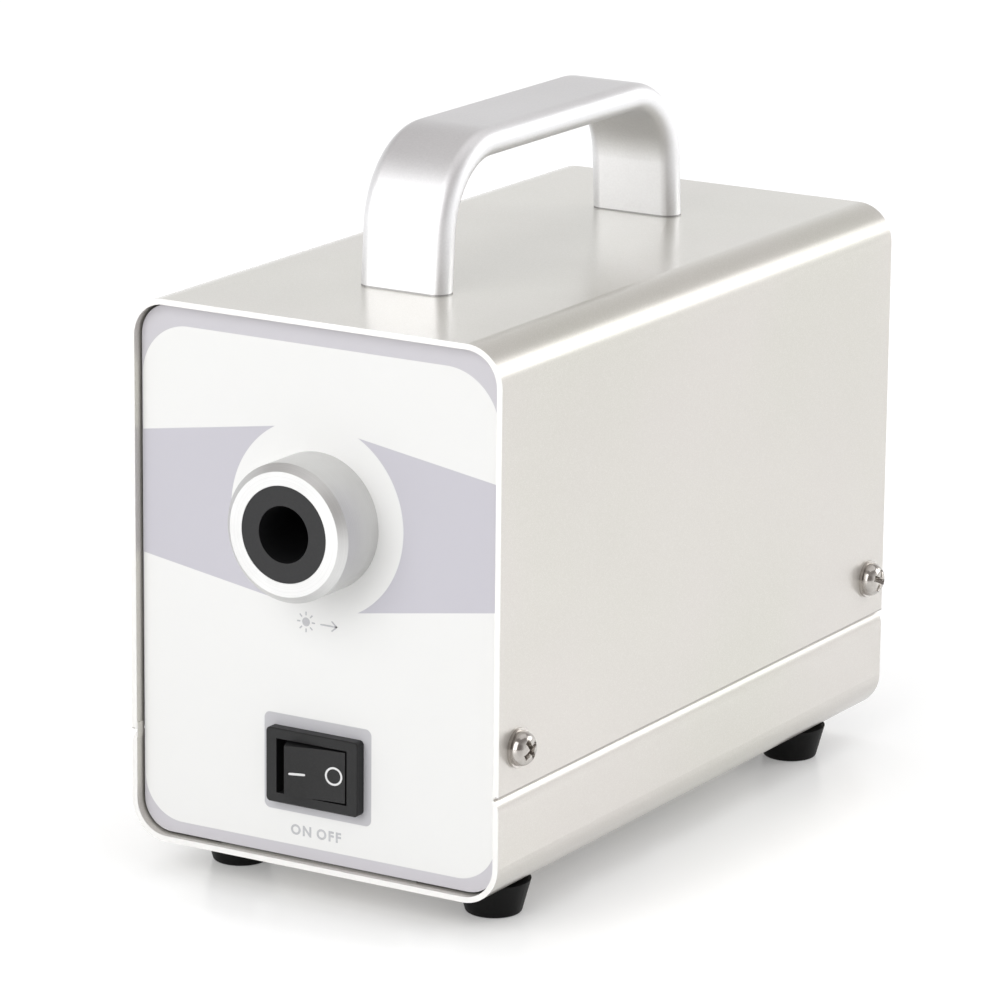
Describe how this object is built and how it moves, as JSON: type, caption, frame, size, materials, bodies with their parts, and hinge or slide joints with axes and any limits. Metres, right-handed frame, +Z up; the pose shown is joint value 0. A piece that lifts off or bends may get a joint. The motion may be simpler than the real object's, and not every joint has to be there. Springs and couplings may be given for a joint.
{
  "type": "fiber optic illuminator",
  "caption": "Fan-cooled bench light source for fiber optic light guides: folded case with carrying handle, light port, rocker switch, rear inlet and dimmer.",
  "frame": {"origin": "on the bench, under the middle of the overall box", "axes": "+Y runs from the light port in front to the back, +Z is up, +X is the right side seen from the front"},
  "size_m": [0.0808, 0.1618, 0.1303],
  "materials": {
    "black_anodised": "matte anodised",
    "boot_vinyl": "soft vinyl",
    "bush_plastic": "matte",
    "capacitor_sleeve": "shrink sleeve",
    "case_paint": "satin pearl powder coat",
    "circuit_board": "solder mask",
    "coil_copper": "enamelled copper",
    "coil_tape": "tape wrap",
    "earth_insulation": "smooth",
    "fan_plastic": "moulded",
    "ferrite": "ceramic",
    "foot_rubber": "matte",
    "fuse_glass": "capped",
    "galvanised_steel": "galvanised",
    "handle_aluminium": "satin anodised",
    "heat_sink_aluminium": "extruded",
    "inlet_plastic": "moulded",
    "knob_plastic": "fine textured",
    "label_film": "satin printed film",
    "lead_insulation": "smooth",
    "led_phosphor": "smooth",
    "lens_glass": "polished",
    "mains_insulation": "smooth",
    "nickel_screw": "nickel plated",
    "panel_paint": "smooth white",
    "pin_brass": "nickel plated",
    "port_aluminium": "fine turned",
    "rocker_plastic": "satin",
    "switch_plastic": "fine textured",
    "tab_brass": "plain",
    "terminal_plastic": "moulded",
    "zinc_steel": "zinc plated"
  },
  "bodies": {
    "case": {"lower_tray": "case_paint", "upper_cover": "case_paint", "front_panel": "panel_paint", "front_label": "label_film", "rear_panel": "case_paint", "foot_front_left": "foot_rubber", "foot_front_right": "foot_rubber", "foot_rear_left": "foot_rubber", "foot_rear_right": "foot_rubber", "foot_screws": "zinc_steel", "cover_screws": "nickel_screw", "flat_washers": "nickel_screw", "clinch_nuts": "zinc_steel", "handle": "handle_aluminium", "handle_screws": "zinc_steel", "chassis_screws": "zinc_steel", "hex_nuts": "zinc_steel", "light_collar": "port_aluminium", "light_guide_bush": "bush_plastic", "collar_nut": "port_aluminium", "lens_tube": "black_anodised", "condenser_lens": "lens_glass", "lens_retaining_ring": "black_anodised", "lens_tube_screws": "zinc_steel", "led_board": "heat_sink_aluminium", "led_emitter": "led_phosphor", "led_screws": "zinc_steel", "heat_sink": "heat_sink_aluminium", "heat_sink_bracket": "galvanised_steel", "fan_frame": "fan_plastic", "fan_stator": "coil_copper", "fan_screws": "nickel_screw", "fan_guard": "nickel_screw", "driver_board": "circuit_board", "board_standoffs": "tab_brass", "board_screws": "zinc_steel", "transformer_core": "ferrite", "transformer_winding": "coil_tape", "input_capacitor": "capacitor_sleeve", "output_capacitors": "capacitor_sleeve", "filter_choke": "coil_copper", "terminal_blocks": "terminal_plastic", "switch_body": "switch_plastic", "switch_terminals": "tab_brass", "inlet_body": "inlet_plastic", "inlet_pins": "pin_brass", "dimmer_body": "zinc_steel", "dimmer_nut": "nickel_screw", "earth_stud": "tab_brass", "mains_wires": "mains_insulation", "earth_wire": "earth_insulation", "led_wires": "lead_insulation", "control_wires": "lead_insulation", "wire_boots": "boot_vinyl"},
    "rocker": {"switch_rocker": "rocker_plastic"},
    "rotor": {"fan_rotor": "fan_plastic"},
    "drawer": {"fuse_drawer": "inlet_plastic", "fuse": "fuse_glass"},
    "dimmer": {"dimmer_knob": "knob_plastic", "dimmer_shaft": "zinc_steel"}
  },
  "joints": [
    {"name": "rocker_tilt", "type": "hinge", "parent": "case", "child": "rocker", "pos_m": [0, -0.0667, 0.024], "axis": [0, 0, -1], "range_deg": [0, 23]},
    {"name": "fan_spin", "type": "hinge", "parent": "case", "child": "rotor", "pos_m": [0, 0.057, 0.0682], "axis": [0, 1, 0], "continuous": true},
    {"name": "fuse_drawer_slide", "type": "slide", "parent": "case", "child": "drawer", "axis": [0, 1, 0], "range_m": [0, 0.013]},
    {"name": "dimmer_turn", "type": "hinge", "parent": "case", "child": "dimmer", "pos_m": [-0.018, 0.066, 0.026], "axis": [0, -1, 0], "range_deg": [0, 280]}
  ]
}
